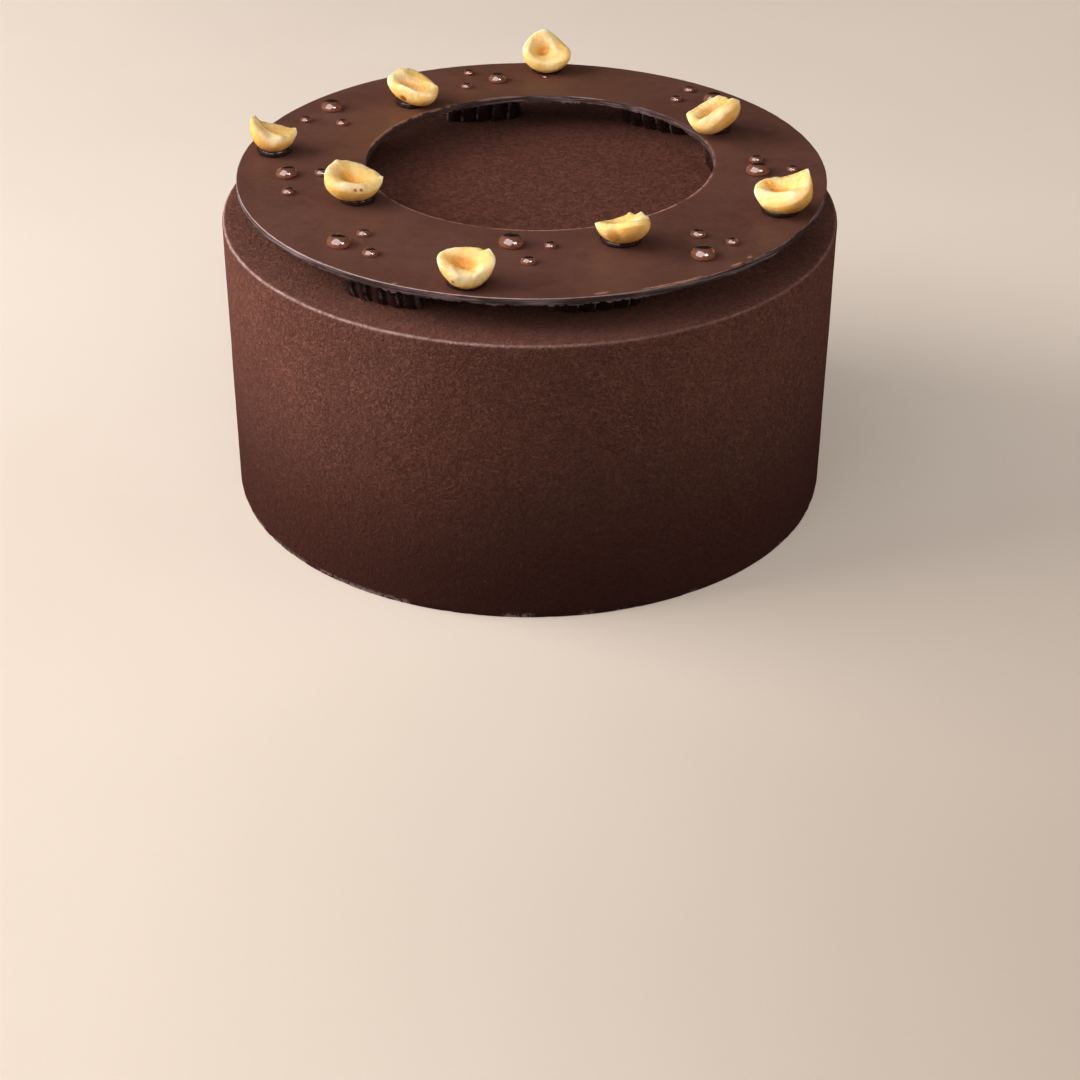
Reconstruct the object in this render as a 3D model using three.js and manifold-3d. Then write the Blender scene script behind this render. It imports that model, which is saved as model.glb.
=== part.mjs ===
// A round chocolate hazelnut cake, in millimetres with +Z up. Its front faces -Y, and the origin is
// the middle of its underside.
//
// The drum carries a thin chocolate ring on short piped ropes. On the ring lie halved hazelnuts,
// each bedded in a dab of chocolate, and between them clear drops of glaze in groups.
import * as THREE from "three";
import { mergeVertices } from "three/addons/utils/BufferGeometryUtils.js";
import Module from "manifold-3d";

const wasm = await Module();
wasm.setup();

// ---- driving dimensions --------------------------------------------------------------------------

const CAKE_HEIGHT = 75.1;
const CAKE_RIM_RADIUS = 78.4;
const CAKE_BASE_RADIUS = 77.8;
const CAKE_TOP_ROUNDING = 1.2;
const CAKE_BASE_ROUNDING = 0.5;
const CAKE_SIDES = 72;

const RING_TOP = 85.3;
const RING_THICKNESS = 1.9;
const RING_RADIUS = 74.7;
const RING_CENTRE = { x: 0.4, y: 0 };
const RING_BEVEL = 0.25;
const RING_SIDES = 96;

// The hole sits off the ring's centre and is a little out of round.
const HOLE_CENTRE = { x: 2.6, y: 6.6 };
const HOLE_RADIUS = 44;
const HOLE_OVAL = 0.75;
const HOLE_OVAL_AT = 27;
const HOLE_SIDES = 72;

// The narrow gap left wherever one piece rests on another.
const SEAM = 0.25;

// The piped ropes under the ring: how far each is from the cake's axis, in which direction, and how
// its length is turned from the direction round the cake.
const ROPE_WIDTH = 12;
const ROPE_LENGTH = 21;
const ROPE_TURNS = 5;
const ROPE_GROOVE = 0.26;
const ROPE_SIDES = 12;
const ROPE_STEPS = 20;
const ROPES = [
  { from: 237, out: 63.4, turned: 4 },
  { from: 286, out: 58.7, turned: -3 },
  { from: 335, out: 59.6, turned: 5 },
  { from: 19, out: 56, turned: -6 },
  { from: 57, out: 64.7, turned: 3 },
  { from: 102, out: 61.8, turned: -4 },
  { from: 148, out: 61.7, turned: 2 },
  { from: 193, out: 61.8, turned: -5 },
];

// The halved hazelnuts. x, y and up give the middle of the cut face, up from the ring's top. The
// face leans by lean degrees towards the direction to, and turned is the direction of its length.
// saddle lifts the rim at saddleAt and the side opposite it, tips lifts it in three places, and
// corners makes its outline three-cornered, each by that much. dish is how far the face is hollowed,
// roll how far its edge is rounded down, and groove the dent where the kernel's halves met, by its
// middle on the face, its direction, and its half length and half width.
const NUT_SIDES = 18;
const NUT_STEPS = 12;
const NUTS = [
  {
    x: -65.8, y: 10.4, up: 6.9, lean: 19, to: 19, turned: 3, length: 12.3, width: 12.5, depth: 6.1,
    saddle: 1, saddleAt: 6, tips: 0.3, tipsAt: -39, corners: 0.02, cornersAt: -11, dish: 1.2, roll: 0.5,
    groove: { x: -0.8, y: 1, turned: -28, length: 3.6, width: 1.2, depth: 1.6 },
  },
  {
    x: -31.1, y: 42.9, up: 7.1, lean: 10, to: 310, turned: -40, length: 15.2, width: 11.1, depth: 6.2,
    saddle: 0.3, saddleAt: -24, tips: 0.4, tipsAt: 26, corners: 0.06, cornersAt: -9, dish: 1, roll: 0.8,
    groove: { x: 0.3, y: 0.2, turned: 30, length: 3.2, width: 1.3, depth: 1.8 },
  },
  {
    x: 4.5, y: 67.5, up: 7, lean: 29, to: 276, turned: -21, length: 13.3, width: 12.1, depth: 6.1,
    saddle: 0.5, saddleAt: -21, tips: 0.5, tipsAt: -7, corners: 0.05, cornersAt: -9, dish: 1.2, roll: 0.8,
    groove: { x: 0, y: 0.4, turned: 0, length: 2.2, width: 1.6, depth: 1.2 },
  },
  {
    x: 47, y: 23.7, up: 7.7, lean: 19, to: 175, turned: 12, length: 14.2, width: 13.3, depth: 6.8,
    saddle: 0.3, saddleAt: -15, tips: 0.6, tipsAt: 58, corners: 0.07, cornersAt: -20, dish: 1, roll: 0.8,
    groove: { x: 0.3, y: 0.4, turned: 27, length: 5.2, width: 1.3, depth: 2.4 },
  },
  {
    x: -43.4, y: -20.4, up: 7.4, lean: 12, to: 341, turned: 41, length: 14.6, width: 13.7, depth: 6.5,
    saddle: 0.1, saddleAt: -68, tips: 0.1, tipsAt: -29, corners: 0.05, cornersAt: -54, dish: 1, roll: 0.5,
    groove: { x: 0.3, y: 0.8, turned: -75, length: 2.8, width: 1.9, depth: 1.4 },
  },
  {
    x: 61.9, y: -27, up: 8.1, lean: 24, to: 181, turned: 21, length: 14.2, width: 15.2, depth: 7.2,
    saddle: 1.2, saddleAt: -42, tips: 0.5, tipsAt: -6, corners: 0.08, cornersAt: 37, dish: 1.4, roll: 0.5,
    groove: { x: -0.6, y: 1.2, turned: -65, length: 4.8, width: 1.6, depth: 1.8 },
  },
  {
    x: 22.1, y: -45.6, up: 7, lean: 21, to: 119, turned: -55, length: 15.6, width: 11.5, depth: 5.9,
    saddle: 0.2, saddleAt: -55, tips: 0.3, tipsAt: -18, corners: 0.06, cornersAt: -4, dish: 1, roll: 0.4,
    groove: { x: 1.5, y: 0, turned: 0, length: 4.5, width: 1.6, depth: 1.6 },
  },
  {
    x: -14.7, y: -68.8, up: 6.8, lean: 22, to: 270, turned: -6, length: 13.4, width: 11, depth: 5.9,
    saddle: 0.6, saddleAt: 18, tips: 0.1, tipsAt: -14, corners: 0.04, cornersAt: 27, dish: 1.2, roll: 0.7,
    groove: { x: -0.6, y: 0.8, turned: -11, length: 2.8, width: 1.5, depth: 1.4 },
  },
];

// The dab of chocolate under each nut, in the nuts' order.
const DAB_HEIGHT = 2.3;
const DAB_SIDES = 16;
const DABS = [
  { x: -65.8, y: 10.7, radius: 4.5 },
  { x: -31.9, y: 44.1, radius: 4.3 },
  { x: 4.5, y: 69.6, radius: 4.4 },
  { x: 48.6, y: 27, radius: 4.3 },
  { x: -42.7, y: -19.1, radius: 4.7 },
  { x: 61.5, y: -25.1, radius: 4.9 },
  { x: 21.7, y: -42.7, radius: 5 },
  { x: -14.7, y: -66.3, radius: 4.9 },
];

// The drops of glaze, in groups of a large one and small ones. Each is placed by its direction and
// distance from the ring's centre.
const DROP_RISE = 0.86;
const DROP_WAIST = 0.2;
const DROP_ROWS = 3;
const LARGE_DROP_SIDES = 14;
const SMALL_DROP_SIDES = 9;
const LARGE_DROP = 2.3;
const DROP_GROUPS = [
  [[143.3, 66.7, 2.9], [152.3, 67.5, 1.5], [149.7, 58, 1.6]],
  [[98.8, 61.6, 2.5], [104.8, 68.1, 1.4], [107.8, 58.7, 1.5]],
  [[86.8, 63.7, 0.7]],
  [[43.4, 67.6, 2.8], [51.5, 68.8, 1.5], [50.4, 61, 1.5]],
  [[358.3, 57.3, 3], [5.7, 57.7, 1.7], [359.7, 66.2, 1.5]],
  [[308.1, 65.7, 3], [315, 56.6, 1.9], [317.3, 65.2, 1.6]],
  [[263.9, 45.7, 3.1], [275.5, 46.8, 1.5], [269.2, 55.5, 1.8]],
  [[224.9, 64.9, 3], [224.9, 57, 1.7], [233.4, 64, 1.9]],
  [[184.2, 62, 2.8], [194.4, 62.5, 1.7], [184.2, 53.3, 1.7]],
];

// ---- helpers -------------------------------------------------------------------------------------

const radians = THREE.MathUtils.degToRad;

// A closed geometry as a solid that can be joined and cut.
function solid(geometry) {
  const bare = geometry.clone();
  bare.deleteAttribute("normal");
  bare.deleteAttribute("uv");
  const merged = mergeVertices(bare);
  return new wasm.Manifold(
    new wasm.Mesh({
      numProp: 3,
      vertProperties: merged.attributes.position.array,
      triVerts: new Uint32Array(merged.index.array),
    }),
  );
}

function geometryOf(made) {
  const mesh = made.getMesh();
  const geometry = new THREE.BufferGeometry();
  geometry.setAttribute("position", new THREE.BufferAttribute(mesh.vertProperties, 3));
  geometry.setIndex(new THREE.BufferAttribute(mesh.triVerts, 1));
  geometry.computeVertexNormals();
  return geometry;
}

// Turns an outline of radius and height about the Z axis.
function turned(outline, sides) {
  const geometry = new THREE.LatheGeometry(outline, sides);
  return geometry.rotateX(Math.PI / 2);
}

// Moves each point of a unit ball, whose poles lie on the Z axis, to where place puts it.
function reshaped(sides, steps, place) {
  const geometry = new THREE.SphereGeometry(1, sides, steps).rotateX(Math.PI / 2);
  const points = geometry.attributes.position;
  const point = new THREE.Vector3();
  for (let i = 0; i < points.count; i++) {
    point.fromBufferAttribute(points, i).normalize();
    place(point);
    points.setXYZ(i, point.x, point.y, point.z);
  }
  geometry.computeVertexNormals();
  return geometry;
}

// The points of an arc from the angle start to the angle end, in degrees.
function arc(centreX, centreY, radius, start, end, steps) {
  const points = [];
  for (let i = 0; i <= steps; i++) {
    const angle = radians(start + ((end - start) * i) / steps);
    points.push(
      new THREE.Vector2(centreX + radius * Math.cos(angle), centreY + radius * Math.sin(angle)),
    );
  }
  return points;
}

function named(name, geometry, material) {
  const mesh = new THREE.Mesh(geometry, material);
  mesh.name = name;
  return mesh;
}

function numbered(stem, index) {
  return stem + "_" + String(index + 1).padStart(2, "0");
}

function chocolate(colour, roughness) {
  return new THREE.MeshStandardMaterial({ color: colour, roughness: roughness, metalness: 0 });
}

// ---- the drum ------------------------------------------------------------------------------------

function cakeGeometry() {
  const foot = CAKE_BASE_ROUNDING;
  const edge = CAKE_TOP_ROUNDING;
  const outline = [
    new THREE.Vector2(0, 0),
    ...arc(CAKE_BASE_RADIUS - foot, foot, foot, -90, 0, 2),
    ...arc(CAKE_RIM_RADIUS - edge, CAKE_HEIGHT - edge, edge, 0, 90, 3),
    new THREE.Vector2(0, CAKE_HEIGHT),
  ];
  return turned(outline, CAKE_SIDES);
}

// ---- the ring and its drops ----------------------------------------------------------------------

function holeRadius(angle) {
  return HOLE_RADIUS + HOLE_OVAL * Math.cos(2 * (angle - radians(HOLE_OVAL_AT)));
}

function roundTrace(centre, radiusAt, sides) {
  const points = [];
  for (let i = 0; i < sides; i++) {
    const angle = (2 * Math.PI * i) / sides;
    const radius = radiusAt(angle);
    points.push(
      new THREE.Vector2(centre.x + radius * Math.cos(angle), centre.y + radius * Math.sin(angle)),
    );
  }
  return points;
}

function plateGeometry() {
  const shape = new THREE.Shape(roundTrace(RING_CENTRE, () => RING_RADIUS, RING_SIDES));
  shape.holes.push(new THREE.Path(roundTrace(HOLE_CENTRE, holeRadius, HOLE_SIDES)));
  const plate = new THREE.ExtrudeGeometry(shape, {
    depth: RING_THICKNESS - 2 * RING_BEVEL,
    bevelThickness: RING_BEVEL,
    bevelSize: RING_BEVEL,
    bevelOffset: -RING_BEVEL,
    bevelSegments: 1,
  });
  return plate.translate(0, 0, RING_TOP - RING_THICKNESS + RING_BEVEL);
}

// A bead that bulges over its foot. Its foot is sunk into the ring, so that the two join.
function dropGeometry(radius) {
  const sides = radius > LARGE_DROP ? LARGE_DROP_SIDES : SMALL_DROP_SIDES;
  const rise = radius * DROP_RISE;
  const waist = radius * DROP_WAIST;
  const outline = [new THREE.Vector2(0, -RING_THICKNESS / 2)];
  outline.push(new THREE.Vector2(radius * 0.9, -RING_THICKNESS / 2));
  for (let row = 0; row <= DROP_ROWS; row++) {
    const angle = (Math.PI / 2) * (row / DROP_ROWS);
    outline.push(
      new THREE.Vector2(radius * Math.cos(angle), waist + (rise - waist) * Math.sin(angle)),
    );
  }
  outline[outline.length - 1].x = 0;
  return turned(outline, sides);
}

function ringGeometry() {
  let ring = solid(plateGeometry());
  for (const [from, out, radius] of DROP_GROUPS.flat()) {
    const drop = dropGeometry(radius);
    const angle = radians(from);
    drop.translate(
      RING_CENTRE.x + out * Math.cos(angle),
      RING_CENTRE.y + out * Math.sin(angle),
      RING_TOP,
    );
    ring = ring.add(solid(drop));
  }
  return geometryOf(ring);
}

// ---- the piped ropes -----------------------------------------------------------------------------

// A rope of soft ganache laid in overlapping turns and pressed flat by the ring. It lies along X
// with its foot at height 0, and its middle is at the origin.
function ropeGeometry() {
  const height = RING_TOP - RING_THICKNESS - CAKE_HEIGHT - 2 * SEAM;
  return reshaped(ROPE_SIDES, ROPE_STEPS, (point) => {
    const along = Math.acos(THREE.MathUtils.clamp(point.z, -1, 1)) / Math.PI;
    const around = Math.atan2(point.y, point.x);
    const fullness = Math.pow(1 - Math.pow(Math.abs(2 * along - 1), 2.6), 0.45);
    const turn = (along * ROPE_TURNS) % 1;
    const groove = 1 - ROPE_GROOVE * Math.pow(1 - Math.sin(Math.PI * turn), 1.6);
    const swell = fullness * groove;
    const rise = THREE.MathUtils.clamp(0.5 + 0.66 * Math.sin(around), 0, 1);
    point.set(
      (0.5 - along) * ROPE_LENGTH,
      (ROPE_WIDTH / 2) * swell * Math.cos(around),
      height * rise * Math.min(1, swell * 1.15),
    );
  });
}

function placeRope(mesh, rope) {
  const angle = radians(rope.from);
  mesh.position.set(rope.out * Math.cos(angle), rope.out * Math.sin(angle), CAKE_HEIGHT + SEAM);
  mesh.rotation.z = angle + Math.PI / 2 + radians(rope.turned);
}

// ---- the nuts and their dabs ---------------------------------------------------------------------

// The rim of a halved nut at an angle round it, with the cut face in the XY plane.
function rimPoint(nut, around) {
  const three = 3 * (around - radians(nut.cornersAt));
  const reach = 1 + nut.corners * Math.cos(three);
  const lift =
    nut.saddle * Math.cos(2 * (around - radians(nut.saddleAt))) +
    nut.tips * Math.cos(3 * (around - radians(nut.tipsAt)));
  return new THREE.Vector3(
    (nut.length / 2) * Math.cos(around) * reach,
    (nut.width / 2) * Math.sin(around) * reach,
    lift,
  );
}

// How far the cut face lies below its rim at a point of it, reach being 0 at its middle and 1 at
// its rim.
function faceDrop(nut, x, y, reach) {
  const { groove } = nut;
  const turn = radians(groove.turned);
  const along = (x - groove.x) * Math.cos(turn) + (y - groove.y) * Math.sin(turn);
  const across = (y - groove.y) * Math.cos(turn) - (x - groove.x) * Math.sin(turn);
  const dent = Math.exp(-Math.pow(along / groove.length, 2) - Math.pow(across / groove.width, 2));
  const inside = 1 - reach * reach;
  return nut.dish * inside * inside + groove.depth * dent * inside + nut.roll * Math.pow(reach, 8);
}

// The half below the XY plane is the nut's round back, and the half above is pressed down into the
// hollow of the cut face.
function nutGeometry(nut) {
  return reshaped(NUT_SIDES, NUT_STEPS, (point) => {
    const polar = Math.acos(THREE.MathUtils.clamp(point.z, -1, 1));
    const rim = rimPoint(nut, Math.atan2(point.y, point.x));
    if (point.z < 0) {
      const reach = Math.hypot(point.x, point.y);
      const sunk = -point.z;
      const edge = rim.z - nut.roll;
      point.set(rim.x * reach, rim.y * reach, edge * (1 - sunk) - nut.depth * sunk);
    } else {
      const reach = Math.min(1, polar / (Math.PI / 2));
      const x = rim.x * reach;
      const y = rim.y * reach;
      point.set(x, y, rim.z * reach * reach - faceDrop(nut, x, y, reach));
    }
  });
}

function placeNut(mesh, nut) {
  const lean = radians(nut.lean);
  const to = radians(nut.to);
  const turn = radians(nut.turned);
  const up = new THREE.Vector3(
    Math.sin(lean) * Math.cos(to),
    Math.sin(lean) * Math.sin(to),
    Math.cos(lean),
  );
  const along = new THREE.Vector3(Math.cos(turn), Math.sin(turn), 0).projectOnPlane(up).normalize();
  const across = new THREE.Vector3().crossVectors(up, along);
  mesh.quaternion.setFromRotationMatrix(new THREE.Matrix4().makeBasis(along, across, up));
  mesh.position.set(nut.x, nut.y, RING_TOP + nut.up);
}

// A flattened dab with the nut's print pressed into it.
function dabGeometry(dab, nutMesh) {
  const outline = [
    new THREE.Vector2(0, 0),
    new THREE.Vector2(dab.radius - 0.3, 0),
    new THREE.Vector2(dab.radius, 0.2 * DAB_HEIGHT),
    new THREE.Vector2(dab.radius - 0.4, 0.6 * DAB_HEIGHT),
    new THREE.Vector2(dab.radius * 0.7, 0.92 * DAB_HEIGHT),
    new THREE.Vector2(0, DAB_HEIGHT),
  ];
  const dome = turned(outline, DAB_SIDES).translate(dab.x, dab.y, RING_TOP + SEAM);
  nutMesh.updateMatrix();
  const nut = nutMesh.geometry.clone().applyMatrix4(nutMesh.matrix).translate(0, 0, -SEAM);
  return geometryOf(solid(dome).subtract(solid(nut)));
}

// ---- the cake as a scene graph -------------------------------------------------------------------

const sprayed = chocolate(0x55352b, 0.9);
const ringFinish = chocolate(0x4f3128, 0.45);
const ganache = chocolate(0x2a1c1a, 0.5);
const nutFinish = chocolate(0xe8bd6e, 0.5);

const group = new THREE.Group();
group.add(named("cake", cakeGeometry(), sprayed));
group.add(named("ring", ringGeometry(), ringFinish));

ROPES.forEach((rope, index) => {
  const mesh = named(numbered("rope", index), ropeGeometry(), ganache);
  placeRope(mesh, rope);
  group.add(mesh);
});

NUTS.forEach((nut, index) => {
  const mesh = named(numbered("nut", index), nutGeometry(nut), nutFinish);
  placeNut(mesh, nut);
  group.add(mesh);
  group.add(named(numbered("dab", index), dabGeometry(DABS[index], mesh), ganache));
});

export default group;
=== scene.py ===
"""A round chocolate hazelnut cake: its looks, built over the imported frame.

Lengths are in millimetres here and become metres where a mesh is made. +Z is up, the front faces -Y,
and the origin is the middle of the cake's underside.
"""

import math
import random

import bpy
from mathutils import Matrix, Vector, noise


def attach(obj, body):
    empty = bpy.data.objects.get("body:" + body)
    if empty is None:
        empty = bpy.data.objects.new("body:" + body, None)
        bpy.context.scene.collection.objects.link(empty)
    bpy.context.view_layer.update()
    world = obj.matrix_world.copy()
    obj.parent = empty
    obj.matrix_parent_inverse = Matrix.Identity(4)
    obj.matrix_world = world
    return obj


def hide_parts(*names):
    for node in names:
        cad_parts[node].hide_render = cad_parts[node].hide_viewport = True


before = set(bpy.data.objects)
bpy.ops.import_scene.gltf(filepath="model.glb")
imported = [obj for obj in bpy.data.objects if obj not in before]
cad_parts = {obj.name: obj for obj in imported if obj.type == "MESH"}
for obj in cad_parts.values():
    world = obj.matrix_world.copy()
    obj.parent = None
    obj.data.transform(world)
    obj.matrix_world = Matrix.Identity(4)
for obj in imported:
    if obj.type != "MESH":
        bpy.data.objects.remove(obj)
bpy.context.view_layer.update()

MM = 0.001
SEED = 11

# ---- sizes, in the frame's places ----------------------------------------------------------------

CAKE_HEIGHT = 75.1
CAKE_RIM_RADIUS = 78.4
CAKE_BASE_RADIUS = 77.8
CAKE_TOP_ROUNDING = 1.0
CAKE_BASE_ROUNDING = 0.35

RING_TOP = 85.3
RING_THICKNESS = 1.9
RING_RADIUS = 74.7
RING_CENTRE = (0.4, 0.0)
HOLE_CENTRE = (2.6, 6.6)
HOLE_RADIUS = 44.0
HOLE_OVAL = 0.75
HOLE_OVAL_AT = 27

ROPE_WIDTH = 12.0
ROPE_LENGTH = 21.0
ROPE_TURNS = 5
ROPE_HEIGHT = RING_TOP - RING_THICKNESS - CAKE_HEIGHT
ROPES = [
    {"from": 237, "out": 63.4, "turned": 4},
    {"from": 286, "out": 58.7, "turned": -3},
    {"from": 335, "out": 59.6, "turned": 5},
    {"from": 19, "out": 56.0, "turned": -6},
    {"from": 57, "out": 64.7, "turned": 3},
    {"from": 102, "out": 61.8, "turned": -4},
    {"from": 148, "out": 61.7, "turned": 2},
    {"from": 193, "out": 61.8, "turned": -5},
]

# Each halved nut: the middle of its cut face, up from the ring's top, how the face leans, its outline,
# its dish and groove, and how far its edge is rounded. Folds cross the cut face: from x, y to x, y, half
# width and rise; they carry a painted highlight. Notches break the rim: the direction, half width in
# degrees and depth, or a point where it is less than 0. Spots are brown: x, y, z, radius, share. Pale is
# how strong the painted highlight is in the band along the rim on the side that faces the front, from 0 to 1.
NUTS = [
    {"x": -65.8, "y": 10.4, "up": 6.9, "lean": 19, "to": 19, "turned": 3,
     "length": 12.3, "width": 12.5, "depth": 6.1,
     "saddle": 1, "saddle_at": 6, "tips": 0.3, "tips_at": -39, "corners": 0.02, "corners_at": -11,
     "dish": 1.2, "roll": 0.5,
     "groove": {"x": -0.8, "y": 0.4, "turned": -34, "length": 4.2, "width": 1.6, "depth": 1.8},
     "folds": [(-4.4, 0.0, 2.4, -4.4, 1.0, 0.55)], "pale": 0.6,
     "notches": [(146, 15, -1.2), (23, 12, -0.7)]},
    {"x": -31.1, "y": 42.9, "up": 7.1, "lean": 10, "to": 310, "turned": -40,
     "length": 15.2, "width": 11.1, "depth": 6.2,
     "saddle": 0.3, "saddle_at": -24, "tips": 0.4, "tips_at": 26, "corners": 0.06, "corners_at": -9,
     "dish": 1, "roll": 0.8,
     "groove": {"x": 1.0, "y": 0.0, "turned": 30, "length": 3.8, "width": 1.6, "depth": 2.0},
     "folds": [(-5.2, -2.6, -4.2, 0.4, 1.6, 0.7), (-0.4, -4.7, 4.4, -3.6, 0.6, 0.45)],
     "notches": [(32, 10, -0.6)], "spots": [(1.1, -5.0, -3.4, 1.1, 0.7)]},
    {"x": 4.5, "y": 67.5, "up": 7, "lean": 29, "to": 276, "turned": -21,
     "length": 13.3, "width": 12.1, "depth": 6.1,
     "saddle": 0.5, "saddle_at": -21, "tips": 0.5, "tips_at": -7, "corners": 0.05, "corners_at": -9,
     "dish": 1.2, "roll": 0.8,
     "groove": {"x": -1.0, "y": 0.0, "turned": 60, "length": 2.3, "width": 1.7, "depth": 1.4},
     "folds": [(0.0, 3.5, 2.6, 0.5, 1.1, 0.4), (-4.6, -3.0, -4.8, 0.6, 1.0, 0.4)],
     "notches": [(111, 14, -0.8)]},
    {"x": 47, "y": 23.7, "up": 7.7, "lean": 19, "to": 175, "turned": 12,
     "length": 14.2, "width": 13.3, "depth": 6.8,
     "saddle": 0.3, "saddle_at": -15, "tips": 0.6, "tips_at": 58, "corners": 0.07, "corners_at": -20,
     "dish": 1, "roll": 0.8,
     "groove": {"x": 0.3, "y": -0.4, "turned": 27, "length": 5.4, "width": 1.4, "depth": 2.6},
     "folds": [(-4.0, -4.6, 4.4, -2.4, 0.9, 0.4), (-3.0, 1.2, 3.4, 4.4, 0.9, 0.4)],
     "notches": [(26, 7, 1.0)]},
    {"x": -43.4, "y": -20.4, "up": 7.4, "lean": 12, "to": 341, "turned": 41,
     "length": 14.6, "width": 13.7, "depth": 6.5,
     "saddle": 0.1, "saddle_at": -68, "tips": 0.1, "tips_at": -29, "corners": 0.05, "corners_at": -54,
     "dish": 1, "roll": 0.5,
     "groove": {"x": -0.3, "y": 0.3, "turned": -80, "length": 3.4, "width": 2.4, "depth": 1.5},
     "folds": [(-4.8, -2.9, -0.8, -5.3, 0.55, 0.45)], "notches": [(90, 8, -0.5), (-39, 6, -0.8)],
     "spots": [(-3.3, -5.4, -1.2, 0.5, 0.9), (-1.9, -6.1, -1.0, 0.55, 1.0)]},
    {"x": 61.9, "y": -27, "up": 8.1, "lean": 24, "to": 181, "turned": 21,
     "length": 14.2, "width": 15.2, "depth": 7.2,
     "saddle": 1.2, "saddle_at": -42, "tips": 0.5, "tips_at": -6, "corners": 0.08, "corners_at": 37,
     "dish": 1.4, "roll": 0.5,
     "groove": {"x": -0.8, "y": 0.9, "turned": -67, "length": 5.6, "width": 1.6, "depth": 2.1},
     "folds": [(-5.4, 2.4, -0.9, -5.4, 1.3, 0.7)], "pale": 0.35,
     "notches": [(15, 20, -0.1), (177, 6, 0.8), (83, 8, -0.4)]},
    {"x": 22.1, "y": -45.6, "up": 7, "lean": 21, "to": 119, "turned": -55,
     "length": 15.6, "width": 11.5, "depth": 5.9,
     "saddle": 0.2, "saddle_at": -55, "tips": 0.3, "tips_at": -18, "corners": 0.06, "corners_at": -4,
     "dish": 1, "roll": 0.4,
     "groove": {"x": 1.5, "y": 0, "turned": 0, "length": 4.5, "width": 1.9, "depth": 1.6},
     "notches": [(122, 6, -0.6), (107, 5, 0.5), (94, 6, -0.6)], "spots": [(1.6, -4.6, -3.0, 2.4, 0.35)]},
    {"x": -14.7, "y": -68.8, "up": 6.8, "lean": 22, "to": 270, "turned": -6,
     "length": 13.4, "width": 11, "depth": 5.9,
     "saddle": 0.6, "saddle_at": 18, "tips": 0.1, "tips_at": -14, "corners": 0.04, "corners_at": 27,
     "dish": 1.2, "roll": 0.7,
     "groove": {"x": -0.6, "y": 0.6, "turned": -11, "length": 3.4, "width": 1.9, "depth": 1.6},
     "folds": [(-3.2, -1.6, -1.4, -4.4, 0.8, 0.28), (-0.3, -2.5, 2.9, -4.0, 0.9, 0.3),
               (3.2, -3.9, 4.1, -1.4, 0.8, 0.3)],
     "pale": 0.75,
     "notches": [(42, 9, -0.8), (55, 5, 0.5)],
     "spots": [(-2.3, -4.9, -2.0, 0.65, 0.5), (4.3, -3.5, -2.4, 0.5, 0.5)]},
]

DAB_HEIGHT = 2.3
DABS = [
    {"x": -65.8, "y": 10.7, "radius": 4.5},
    {"x": -31.9, "y": 44.1, "radius": 4.3},
    {"x": 4.5, "y": 69.6, "radius": 4.4},
    {"x": 48.6, "y": 27.0, "radius": 4.3},
    {"x": -42.7, "y": -19.1, "radius": 4.7},
    {"x": 61.5, "y": -25.1, "radius": 4.9},
    {"x": 21.7, "y": -42.7, "radius": 5.0},
    {"x": -14.7, "y": -66.3, "radius": 4.9},
]

# The drops of glaze: direction and distance from the ring's centre, and radius.
DROPS = [
    (143.3, 66.7, 2.9), (152.3, 67.5, 1.5), (149.7, 58.0, 1.6),
    (98.8, 61.6, 2.5), (104.8, 68.1, 1.4), (107.8, 58.7, 1.5),
    (86.8, 63.7, 0.7),
    (43.4, 67.6, 2.8), (51.5, 68.8, 1.5), (50.4, 61.0, 1.5),
    (358.3, 57.3, 3.0), (5.7, 57.7, 1.7), (359.7, 66.2, 1.5),
    (308.1, 65.7, 3.0), (315.0, 56.6, 1.9), (317.3, 65.2, 1.6),
    (263.9, 45.7, 3.1), (275.5, 46.8, 1.5), (269.2, 55.5, 1.8),
    (224.9, 64.9, 3.0), (224.9, 57.0, 1.7), (233.4, 64.0, 1.9),
    (184.2, 62.0, 2.8), (194.4, 62.5, 1.7), (184.2, 53.3, 1.7),
]
DROP_RISE = 0.86
DROP_WAIST = 0.2
DROP_FOOT = 0.9

# ---- the camera ----------------------------------------------------------------------------------

CAMERA_PLACE = (0.0, -0.5926, 0.3386)
CAMERA_DOWN = 31.549
CAMERA_YAW = 0.295
CAMERA_ROLL = 0.329
CAMERA_FOCAL_PIXELS = 2510.3
PHOTO_PIXELS = 1080
SENSOR = 36.0


def add_camera():
    down, yaw, roll = (math.radians(a) for a in (CAMERA_DOWN, CAMERA_YAW, CAMERA_ROLL))
    ahead = Vector((math.sin(yaw) * math.cos(down), math.cos(yaw) * math.cos(down), -math.sin(down)))
    level = Vector((math.cos(yaw), -math.sin(yaw), 0))
    upright = level.cross(ahead)
    right = math.cos(roll) * level + math.sin(roll) * upright
    up = -math.sin(roll) * level + math.cos(roll) * upright
    camera = bpy.data.objects.new("camera", bpy.data.cameras.new("camera"))
    camera.data.sensor_width = SENSOR
    camera.data.lens = CAMERA_FOCAL_PIXELS / PHOTO_PIXELS * SENSOR
    camera.data.clip_start = 0.01
    camera.matrix_world = Matrix.Translation(CAMERA_PLACE) @ Matrix((right, up, -ahead)).transposed().to_4x4()
    bpy.context.scene.collection.objects.link(camera)
    bpy.context.scene.camera = camera


# ---- meshes --------------------------------------------------------------------------------------


def grid_faces(rows, columns, start=0, flip=False):
    """Quads between rows of points that close on themselves round each row."""
    faces = []
    for i in range(rows - 1):
        for j in range(columns):
            k = (j + 1) % columns
            a, b = start + i * columns + j, start + i * columns + k
            c, d = a + columns, b + columns
            faces.append((a, c, d, b) if flip else (a, b, d, c))
    return faces


def close_ends(faces, columns, low, high, last, first=0, flip=False):
    """Adds fans of triangles from the poles low and high to the first and last rows of a grid."""
    for j in range(columns):
        k = (j + 1) % columns
        a, b = (j, k) if flip else (k, j)
        faces.append((low, first + a, first + b))
        faces.append((high, last + b, last + a))


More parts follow.
